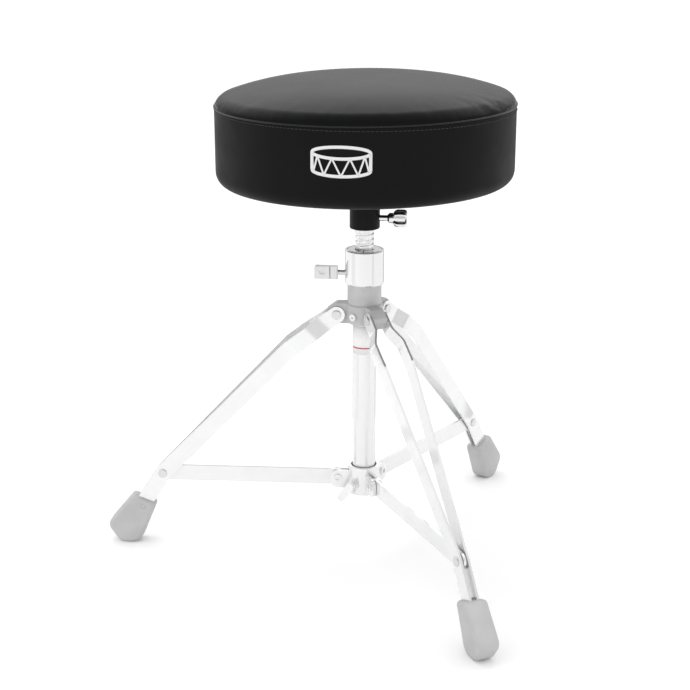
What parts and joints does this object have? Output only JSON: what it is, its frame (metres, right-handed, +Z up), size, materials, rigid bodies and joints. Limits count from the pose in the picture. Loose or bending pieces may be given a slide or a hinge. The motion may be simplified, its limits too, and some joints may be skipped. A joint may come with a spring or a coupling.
{
  "type": "drum throne",
  "caption": "Round padded drummer's seat on a height-adjustable threaded post, with a clamped receiver and a folding double-braced tripod with rubber feet.",
  "frame": {"origin": "on the column's axis, at the floor that the three rubber feet stand on", "axes": "+Z up along the column; one leg points along -X and the other two are 120 degrees either side; -Y is the front, where the split nut's slit is"},
  "size_m": [0.4772, 0.5472, 0.571],
  "materials": {
    "black_casting": "black powder coat on die-cast metal, semi-gloss",
    "chrome_tube": "bright chrome plate, polished",
    "chrome_straps": "bright chrome plate on flat bar",
    "chrome_fittings": "chrome plate, small fittings",
    "machined_steel": "rolled thread, plated, satin",
    "zinc_fasteners": "zinc plate",
    "black_nylon": "moulded nylon",
    "plywood": "birch plywood",
    "foam": "polyurethane foam",
    "black_vinyl": "black grained vinyl, semi-gloss",
    "black_cloth": "black non-woven cloth",
    "grey_rubber": "matte moulded rubber, pale grey",
    "grey_casting": "pale grey powder coat on a die casting, semi-gloss"
  },
  "bodies": {
    "base": {"hub_casting": "grey_casting", "column_tube": "chrome_tube", "hub_set_screws": "chrome_fittings", "leg_pivot_bolts": "chrome_fittings", "collar_shell": "chrome_tube", "split_nut": "machined_steel", "tube_end_plug": "black_nylon"},
    "collar_lock": {"collar_lock_screw": "chrome_fittings", "collar_lock_grip": "chrome_fittings"},
    "rod_guide": {"rod_guide_plug": "black_nylon"},
    "post": {"threaded_rod": "machined_steel"},
    "seat": {"receiver_casting": "black_casting", "seat_board": "plywood", "seat_foam": "foam", "seat_cover_top": "black_vinyl", "seat_side_band": "black_vinyl", "seat_dust_cover": "black_cloth", "seat_bolts": "zinc_fasteners", "seat_tee_nuts": "zinc_fasteners"},
    "receiver_wing": {"receiver_wing_screw": "chrome_fittings", "receiver_wing_knob": "chrome_fittings"},
    "spreader": {"spreader_bracket": "chrome_fittings", "spreader_bush": "black_nylon", "strut_pivot_bolts": "chrome_fittings"},
    "spreader_lock": {"spreader_lock_lever": "chrome_fittings"},
    "leg_left": {"leg_left_strap_a": "chrome_straps", "leg_left_strap_b": "chrome_straps", "leg_left_lower_rivets": "chrome_fittings", "leg_left_foot": "grey_rubber", "leg_left_foot_pin": "chrome_fittings"},
    "strut_left": {"strut_left": "chrome_straps", "strut_left_bush": "chrome_fittings"},
    "leg_front": {"leg_front_strap_a": "chrome_straps", "leg_front_strap_b": "chrome_straps", "leg_front_lower_rivets": "chrome_fittings", "leg_front_foot": "grey_rubber", "leg_front_foot_pin": "chrome_fittings"},
    "strut_front": {"strut_front": "chrome_straps", "strut_front_bush": "chrome_fittings"},
    "leg_rear": {"leg_rear_strap_a": "chrome_straps", "leg_rear_strap_b": "chrome_straps", "leg_rear_lower_rivets": "chrome_fittings", "leg_rear_foot": "grey_rubber", "leg_rear_foot_pin": "chrome_fittings"},
    "strut_rear": {"strut_rear": "chrome_straps", "strut_rear_bush": "chrome_fittings"}
  },
  "joints": [
    {"name": "post_turn", "type": "hinge", "parent": "rod_guide", "child": "post", "pos_m": [0, 0, 0.3], "axis": [0, 0, 1], "range_deg": [-1080, 5400]},
    {"name": "height_slide", "type": "slide", "parent": "base", "child": "rod_guide", "axis": [0, 0, 1], "range_m": [-0.018, 0.09]},
    {"name": "seat_swivel", "type": "hinge", "parent": "post", "child": "seat", "pos_m": [0, 0, 0.42], "axis": [0, 0, 1], "continuous": true},
    {"name": "collar_lock_turn", "type": "hinge", "parent": "base", "child": "collar_lock", "pos_m": [-0.04, 0, 0.3455], "axis": [-1, 0, 0], "range_deg": [0, 360]},
    {"name": "receiver_wing_turn", "type": "hinge", "parent": "seat", "child": "receiver_wing", "pos_m": [0.036, 0, 0.41], "axis": [1, 0, 0], "range_deg": [0, 360]},
    {"name": "fold_slide", "type": "slide", "parent": "base", "child": "spreader", "axis": [0, 0, 1], "range_m": [0, 0.11963]},
    {"name": "spreader_lock_turn", "type": "hinge", "parent": "spreader", "child": "spreader_lock", "pos_m": [-0.013, -0.02252, 0.0905], "axis": [-0.5, -0.866, 0], "range_deg": [0, 74]},
    {"name": "leg_left_fold", "type": "hinge", "parent": "base", "child": "leg_left", "pos_m": [-0.0313, 0, 0.2975], "axis": [0, -1, 0], "range_deg": [0, 40]},
    {"name": "strut_left_fold", "type": "hinge", "parent": "spreader", "child": "strut_left", "pos_m": [-0.0307, 0, 0.0935], "axis": [0, -1, 0], "range_deg": [0, 81.11]},
    {"name": "leg_front_fold", "type": "hinge", "parent": "base", "child": "leg_front", "pos_m": [0.01565, -0.02711, 0.2975], "axis": [0.866, 0.5, 0], "range_deg": [0, 40]},
    {"name": "strut_front_fold", "type": "hinge", "parent": "spreader", "child": "strut_front", "pos_m": [0.01535, -0.02659, 0.0935], "axis": [0.866, 0.5, 0], "range_deg": [0, 81.11]},
    {"name": "leg_rear_fold", "type": "hinge", "parent": "base", "child": "leg_rear", "pos_m": [0.01565, 0.02711, 0.2975], "axis": [-0.866, 0.5, 0], "range_deg": [0, 40]},
    {"name": "strut_rear_fold", "type": "hinge", "parent": "spreader", "child": "strut_rear", "pos_m": [0.01535, 0.02659, 0.0935], "axis": [-0.866, 0.5, 0], "range_deg": [0, 81.11]}
  ],
  "couplings": [
    {"joint": "post_turn", "follows": "height_slide", "rad_per_m": 1047.2},
    {"joint": "leg_left_fold", "follows": "fold_slide", "rad_per_m": 5.8358},
    {"joint": "strut_left_fold", "follows": "fold_slide", "rad_per_m": 11.833},
    {"joint": "leg_front_fold", "follows": "fold_slide", "rad_per_m": 5.8358},
    {"joint": "strut_front_fold", "follows": "fold_slide", "rad_per_m": 11.833},
    {"joint": "leg_rear_fold", "follows": "fold_slide", "rad_per_m": 5.8358},
    {"joint": "strut_rear_fold", "follows": "fold_slide", "rad_per_m": 11.833}
  ]
}
